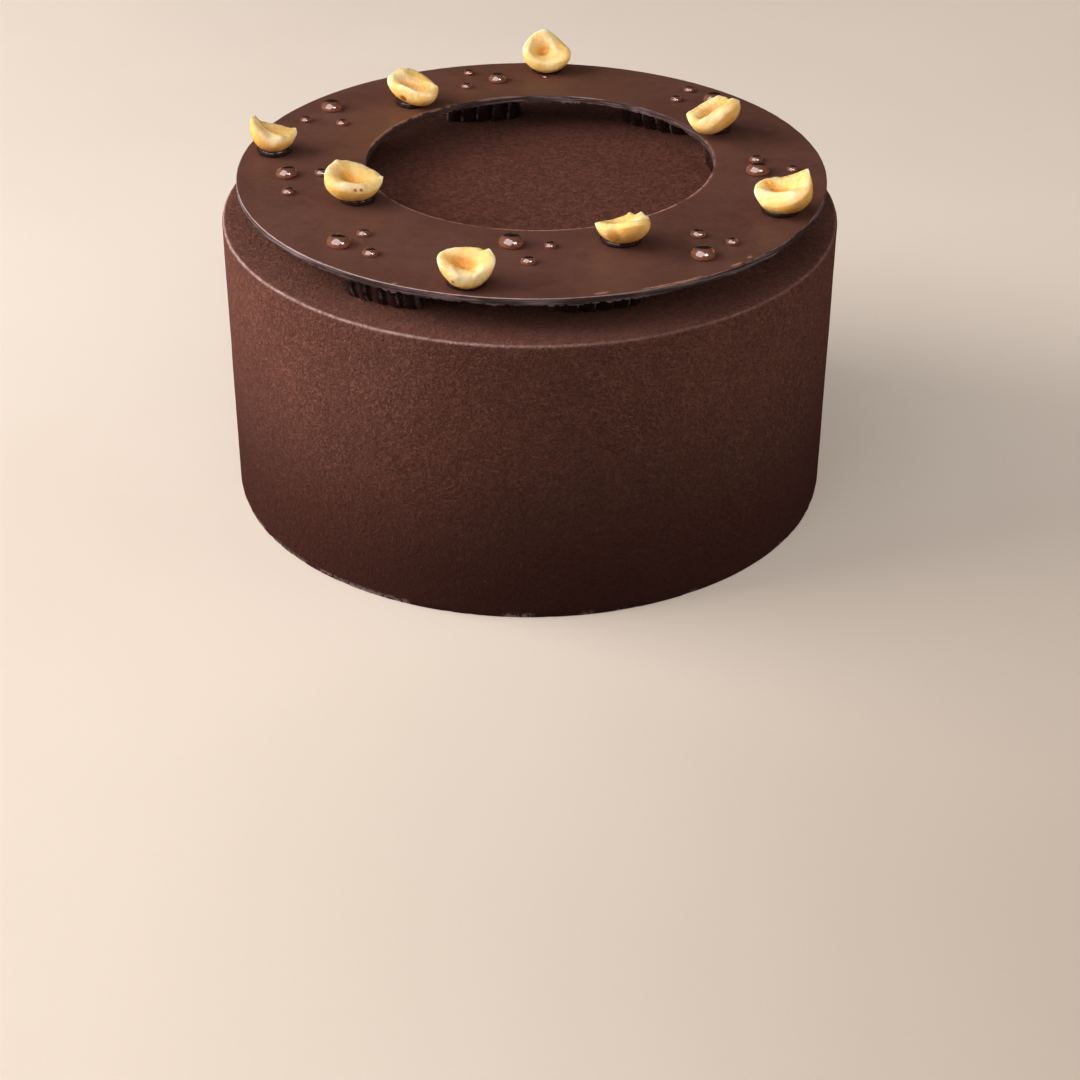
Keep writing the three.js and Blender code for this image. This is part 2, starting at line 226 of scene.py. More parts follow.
def make_mesh(name, points, faces, masks=None, smooth=True):
    """A mesh object of points in millimetres. masks is {attribute name: a value for each point}."""
    mesh = bpy.data.meshes.new(name)
    mesh.from_pydata([tuple(c * MM for c in p) for p in points], [], faces)
    for mask, values in (masks or {}).items():
        if isinstance(values[0], (tuple, Vector)):
            layer = mesh.attributes.new(mask, "FLOAT_VECTOR", "POINT")
            layer.data.foreach_set("vector", [c for v in values for c in v])
        else:
            layer = mesh.attributes.new(mask, "FLOAT", "POINT")
            layer.data.foreach_set("value", values)
    mesh.validate()
    mesh.update()
    if smooth:
        mesh.shade_smooth()
    piece = bpy.data.objects.new(name, mesh)
    bpy.context.scene.collection.objects.link(piece)
    return piece


def finish_piece(piece, material, slot, *nodes):
    piece.data.materials.append(material)
    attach(piece, "root")
    if nodes:
        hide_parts(*nodes)


def ripple(x, y, z, size, octaves=2):
    """Smooth noise from about -1 to 1, whose waves are about size long."""
    place = Vector((x / size + SEED, y / size - SEED, z / size))
    return noise.fractal(place, 1.0, 2.0, octaves)


def smooth_step(low, high, value):
    share = min(1.0, max(0.0, (value - low) / (high - low)))
    return share * share * (3 - 2 * share)


# ---- materials -----------------------------------------------------------------------------------


class Finish:
    """A material, whose nodes are added by short calls. Sizes are in millimetres."""

    def __init__(self, name, **values):
        """values are those of the shader's inputs, with _ for the spaces in their names."""
        self.material = bpy.data.materials.new(name)
        self.material.use_nodes = True
        self.nodes = self.material.node_tree.nodes
        self.links = self.material.node_tree.links
        self.shader = self.nodes["Principled BSDF"]
        for key, value in values.items():
            self.shader.inputs[key.replace("_", " ")].default_value = value
        self.place = self.nodes.new("ShaderNodeTexCoord").outputs["Object"]

    def put(self, socket, value):
        if isinstance(value, bpy.types.NodeSocket):
            self.links.new(value, socket)
        else:
            socket.default_value = value

    def mask(self, name, vector=False):
        node = self.nodes.new("ShaderNodeAttribute")
        node.attribute_name = name
        return node.outputs["Vector" if vector else "Fac"]

    def height(self):
        """Millimetres above the cake's underside."""
        node = self.nodes.new("ShaderNodeSeparateXYZ")
        self.links.new(self.place, node.inputs[0])
        return self.maths("DIVIDE", node.outputs["Z"], MM)

    def stretched(self, place, x, y, z):
        node = self.nodes.new("ShaderNodeMapping")
        node.inputs["Scale"].default_value = (x, y, z)
        self.links.new(place, node.inputs["Vector"])
        return node.outputs["Vector"]

    def noise(self, size, detail=3.0, roughness=0.55, place=None, warp=0.0):
        node = self.nodes.new("ShaderNodeTexNoise")
        node.inputs["Scale"].default_value = 1 / (size * MM)
        node.inputs["Detail"].default_value = detail
        node.inputs["Roughness"].default_value = roughness
        node.inputs["Distortion"].default_value = warp
        self.links.new(place or self.place, node.inputs["Vector"])
        return node.outputs["Fac"]

    def cells(self, size, place=None):
        """The distance from the middle of the nearest of many scattered cells."""
        node = self.nodes.new("ShaderNodeTexVoronoi")
        node.inputs["Scale"].default_value = 1 / (size * MM)
        self.links.new(place or self.place, node.inputs["Vector"])
        return node.outputs["Distance"]

    def maths(self, kind, a, b):
        node = self.nodes.new("ShaderNodeMath")
        node.operation = kind
        self.put(node.inputs[0], a)
        self.put(node.inputs[1], b)
        return node.outputs[0]

    def times(self, a, b):
        return self.maths("MULTIPLY", a, b)

    def plus(self, a, b):
        return self.maths("ADD", a, b)

    def between(self, value, low, high, out_low=0.0, out_high=1.0):
        node = self.nodes.new("ShaderNodeMapRange")
        node.interpolation_type = "SMOOTHSTEP"
        self.put(node.inputs["Value"], value)
        for key, number in (("From Min", low), ("From Max", high), ("To Min", out_low), ("To Max", out_high)):
            node.inputs[key].default_value = number
        return node.outputs["Result"]

    def mix(self, share, a, b):
        node = self.nodes.new("ShaderNodeMix")
        node.data_type = "RGBA"
        self.put(node.inputs[0], share)
        for socket, colour in ((node.inputs[6], a), (node.inputs[7], b)):
            self.put(socket, (*colour, 1.0) if isinstance(colour, tuple) else colour)
        return node.outputs[2]

    def bump(self, height, depth):
        node = self.nodes.new("ShaderNodeBump")
        node.inputs["Distance"].default_value = depth * MM
        self.put(node.inputs["Height"], height)
        return node.outputs["Normal"]

    def wear(self, key, value):
        """Gives the shader's input key a colour, a number or another node's output."""
        self.put(self.shader.inputs[key], value)


def sprayed_chocolate():
    """Velvety cocoa-butter spray: matt, finely mottled, with a few pits and pale specks. A painted shade
    darkens it towards the foot and on the top inside the ring's hole, and a painted highlight line runs along
    the rim, brightest on the left."""
    look = Finish("sprayed_chocolate", Roughness=0.66, IOR=1.42, Specular_IOR_Level=0.05,
                  Sheen_Weight=0.035, Sheen_Roughness=0.45, Sheen_Tint=(1.0, 0.82, 0.80, 1.0))
    cloud = look.noise(28, 3)
    mottle = look.noise(1.2, 2, 0.62)
    grain = look.noise(0.45, 2, 0.6)
    curl = look.maths("SUBTRACT", look.noise(1.15, 1, 0.5, warp=1.3), 0.5)
    crease = look.between(look.maths("ABSOLUTE", curl, 0.0), 0.015, 0.085, 1.0, 0.0)
    tone = look.mix(look.between(cloud, 0.35, 0.65), (0.136, 0.0495, 0.0330), (0.160, 0.0590, 0.0400))
    tone = look.mix(look.between(mottle, 0.3, 0.72, 0.0, 0.55), tone, (0.215, 0.0820, 0.0570))
    # Painted shade: the top inside the ring's hole is darker, in the ring's shade.
    ring_shade = look.mix(look.between(mottle, 0.36, 0.64), (0.090, 0.0280, 0.0172), (0.162, 0.0520, 0.0322))
    tone = look.mix(look.mask("ring_shade"), tone, ring_shade)
    tone = look.mix(look.between(grain, 0.55, 0.78, 0.0, 0.60), tone, (0.050, 0.0185, 0.0130))
    tone = look.mix(look.times(crease, 0.58), tone, (0.062, 0.0215, 0.0145))
    # The rim mask is a painted highlight along the drum's top edge.
    tone = look.mix(look.mask("rim"), tone, (0.430, 0.2850, 0.2650))
    # Painted shade: the drum grows darker towards its foot.
    tone = look.mix(look.between(look.height(), 0.0, 66.0, 0.92, 0.0), tone, (0.040, 0.0105, 0.0068))
    broken = look.between(look.noise(1.3, 3, 0.6), 0.42, 0.52)
    tone = look.mix(look.times(look.mask("foot"), broken), tone, (0.420, 0.2700, 0.2400))
    pits = look.between(look.cells(5.5), 0.03, 0.055, 1.0, 0.0)
    tone = look.mix(look.times(pits, 0.8), tone, (0.018, 0.0070, 0.0050))
    flecks = look.cells(7.7, place=look.stretched(look.place, 1.0, 1.3, 0.9))
    specks = look.between(flecks, 0.018, 0.034, 1.0, 0.0)
    tone = look.mix(look.times(specks, 0.5), tone, (0.26, 0.14, 0.10))
    look.wear("Base Color", tone)
    relief = look.maths("SUBTRACT", mottle, look.times(crease, 0.5))
    look.wear("Normal", look.bump(relief, 0.42))
    return look.material


def ring_chocolate():
    """Satin tempered dark chocolate, with a lavender bloom on the cut sides and pale worn edges. A painted
    highlight runs along the top of the outer edge on the left, and the wall of the hole is painted in shade
    on its left.
    """
    look = Finish("ring_chocolate", Roughness=0.44, IOR=1.46, Specular_IOR_Level=0.18)
    side = look.mask("side")
    worn = look.mask("worn")
    warm = look.mask("warm")
    cloud = look.noise(22, 3)
    mottle = look.noise(1.6, 3, 0.6)
    tone = look.mix(look.between(cloud, 0.35, 0.65), (0.090, 0.0345, 0.0230), (0.108, 0.0430, 0.0300))
    tone = look.mix(look.between(mottle, 0.4, 0.75, 0.0, 0.35), tone, (0.128, 0.0550, 0.0410))
    tone = look.mix(warm, tone, (0.150, 0.058, 0.025))
    tone = look.mix(look.between(side, 0.0, 0.5), tone, (0.050, 0.0270, 0.0230))
    streaks = look.noise(2.4, 4, 0.7, place=look.stretched(look.mask("lay", True), 0.12, 3.6, 1.0))
    bloom = look.times(look.between(side, 0.5, 1.0), look.between(streaks, 0.47, 0.60, 0.0, 0.85))
    tone = look.mix(bloom, tone, (0.230, 0.160, 0.160))
    # Painted highlight along the top of the outer edge, strongest on the left.
    edge_highlight = look.times(look.mask("edge_highlight"), look.between(mottle, 0.25, 0.6, 0.45, 1.0))
    tone = look.mix(edge_highlight, tone, (0.440, 0.310, 0.300))
    chips = look.times(worn, look.between(look.noise(0.7, 2), 0.3, 0.5, 0.55, 1.0))
    tone = look.mix(chips, tone, (0.46, 0.225, 0.15))
    specks = look.between(look.cells(9.0), 0.014, 0.026, 1.0, 0.0)
    tone = look.mix(look.times(specks, 0.5), tone, (0.36, 0.20, 0.15))
    look.wear("Base Color", tone)
    look.wear("Roughness", look.between(look.noise(3.1, 2, 0.6), 0.3, 0.7, 0.38, 0.52))
    hairs = look.noise(3.0, 2, 0.6, place=look.stretched(look.place, 0.35, 2.2, 1.0), warp=1.2)
    relief = look.plus(look.times(mottle, 0.4), look.times(hairs, 0.5))
    relief = look.plus(relief, look.times(look.noise(0.5, 2), 0.16))
    look.wear("Normal", look.bump(relief, 0.05))
    return look.material


def piped_ganache():
    """Nearly black satin ganache, with faint lavender streaks painted on the crests of its lobes as
    highlights.
    """
    look = Finish("piped_ganache", Roughness=0.30, IOR=1.50)
    crest_highlight = look.mask("crest_highlight")
    grain = look.noise(0.8, 3, 0.6)
    tone = look.mix(look.between(grain, 0.35, 0.7), (0.0150, 0.0066, 0.0048), (0.026, 0.0120, 0.0094))
    # Painted highlight: lavender streaks on the crests of the rope's lobes.
    highlight_streaks = look.times(crest_highlight, look.between(look.noise(0.35, 3), 0.36, 0.58))
    tone = look.mix(highlight_streaks, tone, (0.240, 0.180, 0.172))
    look.wear("Base Color", tone)
    look.wear("Roughness", look.between(look.noise(1.4, 3), 0.3, 0.7, 0.16, 0.32))
    look.wear("Normal", look.bump(grain, 0.07))
    return look.material


def hazelnut():
    """A blanched, lightly toasted kernel: cream on the cut face, amber in its hollow and below, with painted
    highlights along the back of the rim, on the folds and in a band along the near rim.
    """
    look = Finish("hazelnut", Roughness=0.42, IOR=1.45, Specular_IOR_Level=0.35, Subsurface_Weight=0.42,
                  Subsurface_Radius=(1.0, 0.62, 0.30), Subsurface_Scale=2.2 * MM)
    hollow = look.mask("hollow")
    toast = look.mask("toast")
    rim = look.mask("rim")
    cloud = look.noise(3.4, 3)
    fibre = look.noise(0.9, 3, 0.6, warp=0.8)
    tone = look.mix(look.between(cloud, 0.42, 0.68), (0.90, 0.575, 0.180), (0.95, 0.730, 0.350))
    toasted = look.times(toast, look.between(cloud, 0.2, 0.8, 1.0, 0.6))
    tone = look.mix(toasted, tone, (0.81, 0.385, 0.055))
    # The cream mask is a painted highlight on the folds and in a band along the near rim.
    tone = look.mix(look.mask("cream"), tone, (0.88, 0.700, 0.400))
    # The rim mask is a painted highlight along the back of the rim.
    tone = look.mix(rim, tone, (0.93, 0.79, 0.52))
    amber = look.times(hollow, look.between(fibre, 0.3, 0.7, 0.75, 1.0))
    tone = look.mix(amber, tone, (0.86, 0.370, 0.038))
    tone = look.mix(look.between(fibre, 0.62, 0.78, 0.0, 0.30), tone, (0.98, 0.86, 0.62))
    tone = look.mix(look.between(look.mask("brown"), 0.0, 0.6), tone, (0.36, 0.105, 0.010))
    look.wear("Base Color", tone)
    gloss = look.between(fibre, 0.3, 0.7, 0.20, 0.40)
    look.wear("Roughness", look.maths("SUBTRACT", gloss, look.times(hollow, 0.14)))
    veins = look.noise(1.3, 3, 0.65, place=look.stretched(look.place, 1.0, 1.0, 0.55), warp=0.8)
    fibre_share = look.plus(0.5, look.times(hollow, 1.2))
    relief = look.plus(veins, look.times(fibre, fibre_share))
    look.wear("Normal", look.bump(relief, 0.20))
    return look.material


def clear_glaze():
    """Clear syrup, a little amber, with a painted dark reflection on the back of each drop."""
    look = Finish("clear_glaze", Roughness=0.03, IOR=1.40, Transmission_Weight=0.78,
                  Coat_Weight=1.0, Coat_IOR=1.65, Coat_Roughness=0.02)
    ripples = look.noise(1.5, 2)
    tone = look.mix(ripples, (0.74, 0.300, 0.165), (0.64, 0.255, 0.140))
    # Painted reflection: the back of each drop is dark.
    look.wear("Base Color", look.mix(look.mask("dark_reflection"), tone, (0.020, 0.0060, 0.0040)))
    return look.material


def floor_finish():
    # The floor glows with its own colour, painted light that lifts the shadows on it.
    look = Finish("floor", Roughness=0.7, Emission_Strength=0.40)
    cloud = look.noise(160, 3)
    tone = look.mix(look.between(cloud, 0.3, 0.7), (0.560, 0.478, 0.405), (0.580, 0.498, 0.425))
    parts = look.nodes.new("ShaderNodeSeparateXYZ")
    look.links.new(look.place, parts.inputs[0])
    # Painted shade: the floor darkens towards the front and the right.
    front = look.between(parts.outputs["Y"], 0.10, -0.22, 0.0, 0.68)
    right = look.between(parts.outputs["X"], -0.10, 0.14, 0.35, 1.0)
    tone = look.mix(look.times(front, right), tone, (0.270, 0.215, 0.165))
    look.wear("Base Color", tone)
    look.wear("Emission Color", tone)
    look.wear("Normal", look.bump(look.noise(2.0, 3), 0.05))
    return look.material


# ---- the drum ------------------------------------------------------------------------------------

CAKE_COLUMNS = 540
CAKE_SIDE_ROWS = 56
CAKE_TOP_ROWS = 44
# How far the drum's side swells and sinks over broad waves and over short ones.
DRUM_BULGE = 0.09
DRUM_DIMPLES = 0.035
# The distances from the drum's top corner between which the painted highlight line on the rim fades in.
RIM_HIGHLIGHT_FROM = 0.66
RIM_HIGHLIGHT_TO = 0.42
# The radii between which the top fades into a darker painted shade, that of the ring shading it inside its
# hole.
RING_SHADE_FROM = 60
RING_SHADE_TO = 53

# Stretches of the foot's edge where the spray is rubbed pale: from and to, in degrees, and how much.
FOOT_WEAR = [(-171, -151, 0.8), (-148, -136, 0.5), (-134, -112, 0.9), (-95, -89, 1.0), (-81, -78, 0.6),
             (-74, -72, 0.5), (-60, -57, 0.3), (-36, -33, 0.4), (-12, -8, 0.4), (20, 34, 0.4), (70, 96, 0.6)]


def stretch_at(stretches, degrees, fade):
    """How worn an edge is at an angle, from stretches of from, to and amount."""
    for start, end, amount in stretches:
        if start <= degrees < end:
            return amount * smooth_step(0, fade, min(degrees - start, end - degrees))
    return 0.0


def drum_outline():
    """(radius, height) up the drum's outline, from the middle of its underside to that of its top."""
    outline = [(12.0, 0.0), (40.0, 0.0), (70.0, 0.0)]
    foot, edge = CAKE_BASE_ROUNDING, CAKE_TOP_ROUNDING
    for step in range(4):
        angle = math.radians(-90 + 30 * step)
        outline.append((CAKE_BASE_RADIUS - foot + foot * math.cos(angle), foot + foot * math.sin(angle)))
    top = CAKE_HEIGHT - edge
    for step in range(1, CAKE_SIDE_ROWS + 1):
        share = step / CAKE_SIDE_ROWS
        radius = CAKE_BASE_RADIUS + (CAKE_RIM_RADIUS - CAKE_BASE_RADIUS) * share
        outline.append((radius, foot + (top - foot) * share))
    for step in range(1, 8):
        angle = math.radians(90 * step / 7)
        outline.append((CAKE_RIM_RADIUS - edge + edge * math.cos(angle), top + edge * math.sin(angle)))
    for step in range(1, CAKE_TOP_ROWS):
        outline.append(((CAKE_RIM_RADIUS - edge) * (1 - step / CAKE_TOP_ROWS), CAKE_HEIGHT))
    return outline


def add_drum(material):
    points, rim, foot, ring_shade = [], [], [], []
    for radius, height in drum_outline():
        for j in range(CAKE_COLUMNS):
            angle = 2 * math.pi * j / CAKE_COLUMNS
            x, y = radius * math.cos(angle), radius * math.sin(angle)
            out = 0.0
            if radius > CAKE_BASE_RADIUS - 1.5:
                out = DRUM_BULGE * ripple(x, y, height, 26) + DRUM_DIMPLES * ripple(x, y, height, 5)
                near_rim = smooth_step(3.0, 0.3, abs(height - (CAKE_HEIGHT - 0.5)))
                out += 0.07 * near_rim * ripple(x, y, height, 2.2, 3)
                near_foot = smooth_step(1.4, 0.2, height)
                out -= near_foot * (0.16 + 0.22 * max(0.0, ripple(x, y, 0, 3.0, 3)))
            lift = 0.0
            if height > CAKE_HEIGHT - 2:
                fine = 0.05 * smooth_step(55, 70, radius) * ripple(x, y, 0, 2.6, 3)
                lift = 0.06 * ripple(x, y, 0, 18) + fine
                lift *= smooth_step(CAKE_HEIGHT - 2, CAKE_HEIGHT, height)
            scale = (radius + out) / radius
            points.append((x * scale, y * scale, height + lift))
            # The rim mask is a painted highlight line on the top edge, strongest on the left where the light
            # comes from, broken by noise.
            from_rim = math.hypot(radius - CAKE_RIM_RADIUS, height - CAKE_HEIGHT)
            edge = smooth_step(RIM_HIGHLIGHT_FROM, RIM_HIGHLIGHT_TO, from_rim)
            lit = 0.22 + 0.68 * smooth_step(0.45, -0.55, x / radius)
            lit *= 0.55 + 0.45 * smooth_step(-0.35, 0.1, ripple(x, y, 0, 2.1, 3))
            rim.append(edge * lit)
            worn = stretch_at(FOOT_WEAR, math.degrees(math.atan2(y, x)), 1.0)
            foot.append(worn * smooth_step(0.75, 0.25, height) if radius > CAKE_BASE_RADIUS - 0.5 else 0.0)
            # A painted shade on the top inside the ring's hole.
            ring_shade.append(smooth_step(RING_SHADE_FROM, RING_SHADE_TO, radius) if height > CAKE_HEIGHT - 0.1 else 0.0)
    rows = len(drum_outline())
    faces = grid_faces(rows, CAKE_COLUMNS)
    bottom, top = len(points), len(points) + 1
    points += [(0.0, 0.0, 0.0), (0.0, 0.0, CAKE_HEIGHT)]
    rim += [0.0, 0.0]
    foot += [0.0, 0.0]
    ring_shade += [0.0, 1.0]
    last = (rows - 1) * CAKE_COLUMNS
    close_ends(faces, CAKE_COLUMNS, bottom, top, last)
    drum = make_mesh("cake_drum", points, faces, {"rim": rim, "foot": foot, "ring_shade": ring_shade})
    finish_piece(drum, material, "sprayed_chocolate", "cake")


# ---- the ring ------------------------------------------------------------------------------------

RING_COLUMNS = 1260
RING_ROUNDING = 0.22
RING_EDGE_ROWS = [0.0, 0.25, 0.5, 0.8, 1.1, 1.5, 2.0, 2.6, 3.4, 4.6, 6.4]
RING_MIDDLE_ROWS = 12
RING_SIDE_ROWS = 8

# Slivers chipped off the ring's top near its outer edge: from and to, in degrees round the ring, the
# distance from its centre, and the width.
SLIVERS = [
    (-78.8, -76.0, 73.3, 0.55),
    (-70.0, -64.0, 73.8, 0.45),
    (-65.0, -57.5, 73.9, 0.50),
    (-50.8, -48.0, 73.7, 0.55),
    (-46.0, -44.8, 73.2, 0.50),
    (-116.0, -114.8, 73.9, 0.40),
]

# Stretches of the hole's top edge that are worn pale: from and to, in degrees round the hole, and how
# much. They fade in over so many degrees.
HOLE_WEAR = [(-158, -108, 0.5), (-108, -60, 0.8), (-60, -36, 1.0), (-36, -10, 0.8), (-10, 20, 0.3),
             (120, 172, 0.5), (96, 112, 0.15)]
WEAR_FADE = 4
# How far the ring's lower edges are nibbled inward, and how far beads of chocolate hang from them.
RAGGED_EDGE = 0.50
HANGING_BEADS = 0.65


def hole_radius(angle):
    return HOLE_RADIUS + HOLE_OVAL * math.cos(2 * (angle - math.radians(HOLE_OVAL_AT)))


def ring_section():
    """(share, offset, height, part) round the plate's section. A point lies at share of the way from
    the hole to the outer edge, offset further out, and at height above the plate's underside."""
    b = RING_ROUNDING
    top = RING_THICKNESS
    section = [(0, b + d, top, "top") for d in RING_EDGE_ROWS]
    for step in range(1, RING_MIDDLE_ROWS):
        share = step / RING_MIDDLE_ROWS
        inset = b + RING_EDGE_ROWS[-1]
        section.append((share, inset * (1 - 2 * share), top, "top"))
    section += [(1, -b - d, top, "top") for d in reversed(RING_EDGE_ROWS)]
    for step in (1, 2, 3):
        angle = math.radians(90 - 30 * step)
        section.append((1, -b + b * math.cos(angle), top - b + b * math.sin(angle), "outer"))
    for step in range(1, RING_SIDE_ROWS):
        section.append((1, 0, top - b - (top - 2 * b) * step / RING_SIDE_ROWS, "outer"))
    for step in (0, 1, 2):
        angle = math.radians(-30 * step)
        section.append((1, -b + b * math.cos(angle), b + b * math.sin(angle), "outer_foot"))
    for share in (1, 0.97, 0.85, 0.6, 0.4, 0.15, 0.03, 0):
        section.append((share, -b if share > 0.5 else b, 0, "under"))
    for step in (1, 2, 3):
        angle = math.radians(-90 - 30 * step)
        section.append((0, b + b * math.cos(angle), b + b * math.sin(angle), "hole_foot"))
    for step in range(1, RING_SIDE_ROWS):
        section.append((0, 0, b + (top - 2 * b) * step / RING_SIDE_ROWS, "hole"))
    for step in (0, 1, 2):
        angle = math.radians(180 - 30 * step)
        section.append((0, b + b * math.cos(angle), top - b + b * math.sin(angle), "hole"))
    return section


def sliver_at(degrees, out):
    """How far into a chipped sliver a place on the ring's top is, from 0 to 1."""
    deepest = 0.0
    for start, end, middle, width in SLIVERS:
        share = (degrees - start) / (end - start)
        if 0 < share < 1:
            half = 0.5 * width * min(1.0, 4 * share, 4 * (1 - share))
            ragged = middle + 0.12 * math.sin(9.0 * degrees) + 0.08 * math.sin(23.0 * degrees)
            deepest = max(deepest, smooth_step(half + 0.12, half * 0.4, abs(out - ragged)))
    return deepest


def add_ring(material):
    section = ring_section()
    rows = len(section)
    points, side, worn, warm, lay, edge_highlight = [], [], [], [], [], []
    for j in range(RING_COLUMNS):
        angle = 2 * math.pi * j / RING_COLUMNS
        degrees = math.degrees(angle) - (360 if j * 2 > RING_COLUMNS else 0)
        along = Vector((math.cos(angle), math.sin(angle)))
        inner = Vector(HOLE_CENTRE) + along * hole_radius(angle)
        outer = Vector(RING_CENTRE) + along * RING_RADIUS
        across = (outer - inner).normalized()
        width = (outer - inner).length
        for share, offset, height, part in section:
            place = inner + across * (share * width + offset)
            x, y = place
            out = (place - Vector(RING_CENTRE)).length
            push, lift, chip = 0.0, 0.0, 0.0
            if part == "top":
                lift = 0.05 * ripple(x, y, 0, 30)
                chip = sliver_at(degrees, out)
                lift -= 0.16 * chip
            elif part in ("outer", "outer_foot"):
                push = 0.05 * ripple(x / 9, y / 9, height, 0.5, 3) + 0.05 * ripple(x, y, height * 2, 3.0)
            elif part in ("hole", "hole_foot"):
                push = -0.06 * ripple(x / 7, y / 7, height, 0.6, 3) - 0.06 * ripple(x, y, height * 2, 2.6)
            if part in ("outer_foot", "hole_foot") or (part == "under" and share in (0, 1)):
                ragged = max(0.0, ripple(x, y, 3.3, 1.1, 3) - 0.02)
                hangs = max(0.0, ripple(x, y, 9.1, 1.7, 3) - 0.14)
                inward = 1 if share else -1
                push += -inward * RAGGED_EDGE * ragged
                lift += RAGGED_EDGE * ragged - HANGING_BEADS * hangs
            if part == "hole" and height > RING_THICKNESS - 0.5:
                broken = smooth_step(-0.15, 0.45, ripple(x, y, 0, 2.4, 3) + 0.25)
                chip = stretch_at(HOLE_WEAR, degrees, WEAR_FADE) * broken
            if part == "top" and share == 0 and offset < 0.9:
                broken = smooth_step(-0.4, 0.1, ripple(x, y, 0, 2.4, 3) + 0.2)
                edge = stretch_at(HOLE_WEAR, degrees, WEAR_FADE) * broken
                chip = max(chip, edge * smooth_step(0.80, 0.35, offset))
            place += across * push
            points.append((place.x, place.y, RING_TOP - RING_THICKNESS + height + lift))
            # On the hole's wall the lavender bloom is kept weak on the left, a painted shade where that wall
            # faces away from the light, and a little weaker on the far right.
            if part in ("hole", "hole_foot"):
                side.append(0.5 + 0.5 * smooth_step(-30, -8, x) * (1 - 0.55 * smooth_step(15, 45, x)))
            else:
                side.append(1.0 if part in ("outer", "outer_foot") else 0.0)
            crest = part == "outer" and height > RING_THICKNESS - 0.2
            right_edge = 0.55 * smooth_step(0.02, 0.4, x / RING_RADIUS) if crest and y < 0 else 0.0
            worn.append(max(chip, right_edge * smooth_step(-0.3, 0.2, ripple(x, y, 0, 3.0, 3))))
            # A painted highlight along the outer top edge, fading out towards the right.
            edge_highlight.append(0.85 * smooth_step(0.75, -0.2, x / RING_RADIUS) if crest else 0.0)
            left_back = smooth_step(60, 20, abs(degrees - 150)) * smooth_step(22, 2, share * width + offset)
            back = smooth_step(40, 5, abs(degrees - 84)) * smooth_step(26, 6, abs(out - 62))
            warm.append(0.50 * left_back + 0.30 * back if part == "top" else 0.0)
            lay.append((angle * RING_RADIUS * MM, height * MM, 0.0))
    faces = []
    for j in range(RING_COLUMNS):
        k = (j + 1) % RING_COLUMNS
        for i in range(rows):
            n = (i + 1) % rows
            faces.append((j * rows + i, j * rows + n, k * rows + n, k * rows + i))
    masks = {"side": side, "worn": worn, "warm": warm, "lay": lay, "edge_highlight": edge_highlight}
    ring = make_mesh("chocolate_ring", points, faces, masks)
    finish_piece(ring, material, "ring_chocolate", "ring")


# ---- the drops of glaze --------------------------------------------------------------------------

DROP_COLUMNS = 72
DROP_ROWS = 28
DROP_SUNK = 0.06
# The painted dark reflection on a drop, in its radii: how far back its middle lies, and where it fades.
DROP_DARK_BACK = 0.36
DROP_DARK_FROM = 0.66
DROP_DARK_TO = 0.80


def drop_outline(radius):
    """(radius, height) from a drop's foot to its top, without the last point on the axis."""
    rise, waist = radius * DROP_RISE, radius * DROP_WAIST
    outline = [(radius * DROP_FOOT * 0.96, -DROP_SUNK)]
    for step in range(4):
        share = step / 4
        swell = DROP_FOOT + (1 - DROP_FOOT) * math.sin(share * math.pi / 2)
        outline.append((radius * swell, waist * share))
    for step in range(DROP_ROWS):
        angle = math.pi / 2 * step / DROP_ROWS
        outline.append((radius * math.cos(angle), waist + (rise - waist) * math.sin(angle)))
    return outline


def add_drops(material):
    draw = random.Random(SEED)
    points, faces, dark_reflection = [], [], []
    for degrees, out, radius in DROPS:
        angle = math.radians(degrees)
        middle = (RING_CENTRE[0] + out * math.cos(angle), RING_CENTRE[1] + out * math.sin(angle))
        oval, oval_at = draw.uniform(0.01, 0.045), draw.uniform(0, math.pi)
        outline = drop_outline(radius)
        start = len(points)
        for reach, height in outline:
            for j in range(DROP_COLUMNS):
                around = 2 * math.pi * j / DROP_COLUMNS
                far = reach * (1 + oval * math.cos(2 * (around - oval_at)))
                points.append((middle[0] + far * math.cos(around), middle[1] + far * math.sin(around),
                               RING_TOP + height))
                share = reach / radius
                # The painted dark reflection on the back of the drop.
                from_dark = math.hypot(share * math.cos(around), share * math.sin(around) - DROP_DARK_BACK)
                dark_reflection.append(smooth_step(DROP_DARK_TO, DROP_DARK_FROM, from_dark))
        faces += grid_faces(len(outline), DROP_COLUMNS, start)
        top, foot = len(points), len(points) + 1
        points += [(*middle, RING_TOP + radius * DROP_RISE), (*middle, RING_TOP - DROP_SUNK)]
        dark_reflection += [0.0, 0.0]
        last = start + (len(outline) - 1) * DROP_COLUMNS
        close_ends(faces, DROP_COLUMNS, foot, top, last, start)
    drops = make_mesh("glaze_drops", points, faces, {"dark_reflection": dark_reflection})
    finish_piece(drops, material, "clear_glaze", "ring")


# ---- the piped ropes -----------------------------------------------------------------------------

ROPE_STEPS = 130
ROPE_SIDES = 72
ROPE_GROOVE = 0.33


def rope_fullness(along):
    """How full the rope is at a share of its length, without its lobes."""
    return (1 - abs(2 * along - 1) ** 3.6) ** 0.45


def rope_lobe(along):
    """The swell of a lobe at a share of the rope's length, and how near that is to the lobe's crest."""
    turn = along * ROPE_TURNS % 1
    lobe = math.sin(math.pi * turn ** 0.62) ** 0.60
    crest = smooth_step(0.03, 0.09, turn) * smooth_step(0.20, 0.11, turn)
    return 1 - ROPE_GROOVE * (1 - lobe), crest


